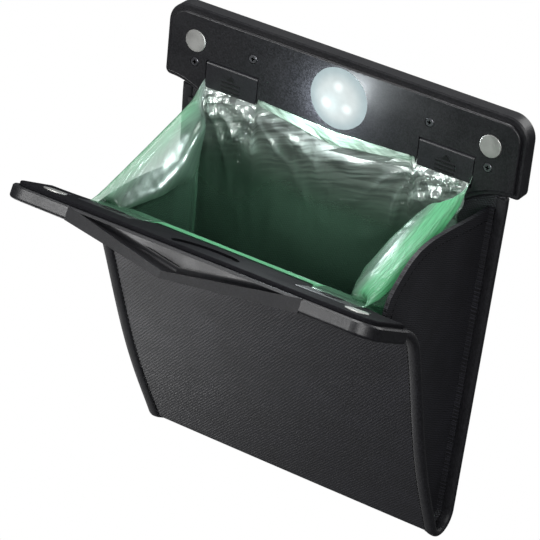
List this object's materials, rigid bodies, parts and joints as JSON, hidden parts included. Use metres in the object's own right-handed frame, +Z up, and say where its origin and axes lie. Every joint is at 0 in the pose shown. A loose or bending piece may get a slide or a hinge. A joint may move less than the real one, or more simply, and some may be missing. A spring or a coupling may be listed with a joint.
{
  "type": "hanging car trash bin",
  "caption": "Hanging car trash bin: folded leather pouch between a lamp header and a tilting front bar, with magnets, flip clips and a film liner.",
  "frame": {"origin": "on the header's rear face at the lamp's axis", "axes": "+Z up, -Y out of the header's front towards the bar, +X to the right seen from the front"},
  "size_m": [0.209, 0.1632, 0.2423],
  "materials": {
    "abs_black": "fine moulded grain, matte",
    "nickel": "nickel plated, satin",
    "screw_steel": "blackened steel",
    "leather_black": "cross-grain embossed, satin",
    "binding_black": "smooth edge tape, satin",
    "film_green": "thin translucent film",
    "lens_milky": "milky, lit",
    "board_white": "white solder mask",
    "emitter_white": "clear emitter",
    "switch_black": "moulded"
  },
  "bodies": {
    "header": {"header_rear_cover": "abs_black", "header_front_plate": "abs_black", "header_screws": "screw_steel", "header_magnet_left": "nickel", "header_magnet_right": "nickel", "battery_door": "abs_black", "battery_door_screw": "screw_steel", "coin_cells": "nickel", "cell_contact": "nickel", "lamp_board": "board_white", "lamp_emitters": "emitter_white", "lamp_switch": "switch_black", "leather_back": "leather_black", "gusset_left": "leather_black", "gusset_right": "leather_black", "edge_binding_left": "binding_black", "edge_binding_right": "binding_black", "liner_bag": "film_green"},
    "front_panel": {"leather_front": "leather_black"},
    "bar": {"bar_cover": "abs_black", "bar_plate": "abs_black", "bar_screws": "screw_steel", "bar_magnet_left": "nickel", "bar_magnet_right": "nickel"},
    "lens": {"lamp_lens": "lens_milky"},
    "header_flip_left": {"header_clip_left": "abs_black"},
    "header_flip_right": {"header_clip_right": "abs_black"},
    "bar_flip_left": {"bar_clip_left": "abs_black"},
    "bar_flip_right": {"bar_clip_right": "abs_black"}
  },
  "joints": [
    {"name": "mouth", "type": "hinge", "parent": "header", "child": "front_panel", "pos_m": [0, -0.0107, -0.2115], "axis": [1, 0, 0], "range_deg": [-22.8, 0], "deforming": ["gusset_left", "gusset_right", "edge_binding_left", "edge_binding_right", "liner_bag"]},
    {"name": "bar_tilt", "type": "hinge", "parent": "front_panel", "child": "bar", "pos_m": [0, -0.07927, -0.06839], "axis": [1, 0, 0], "range_deg": [-40.5, 0], "deforming": ["leather_front"]},
    {"name": "lens_push", "type": "slide", "parent": "header", "child": "lens", "axis": [0, 1, 0], "range_m": [0, 0.001], "stiffness_N_per_m": 1500},
    {"name": "header_clip_left_flip", "type": "hinge", "parent": "header", "child": "header_flip_left", "pos_m": [-0.0629, -0.0094, -0.0066], "axis": [-1, 0, 0], "range_deg": [0, 100]},
    {"name": "header_clip_right_flip", "type": "hinge", "parent": "header", "child": "header_flip_right", "pos_m": [0.0629, -0.0094, -0.0066], "axis": [-1, 0, 0], "range_deg": [0, 100]},
    {"name": "bar_clip_left_flip", "type": "hinge", "parent": "bar", "child": "bar_flip_left", "pos_m": [-0.0629, -0.11863, -0.04338], "axis": [1, 0, 0], "range_deg": [0, 100]},
    {"name": "bar_clip_right_flip", "type": "hinge", "parent": "bar", "child": "bar_flip_right", "pos_m": [0.0629, -0.11863, -0.04338], "axis": [1, 0, 0], "range_deg": [0, 100]}
  ],
  "couplings": [
    {"joint": "bar_tilt", "follows": "mouth", "ratio": 1.7763}
  ]
}
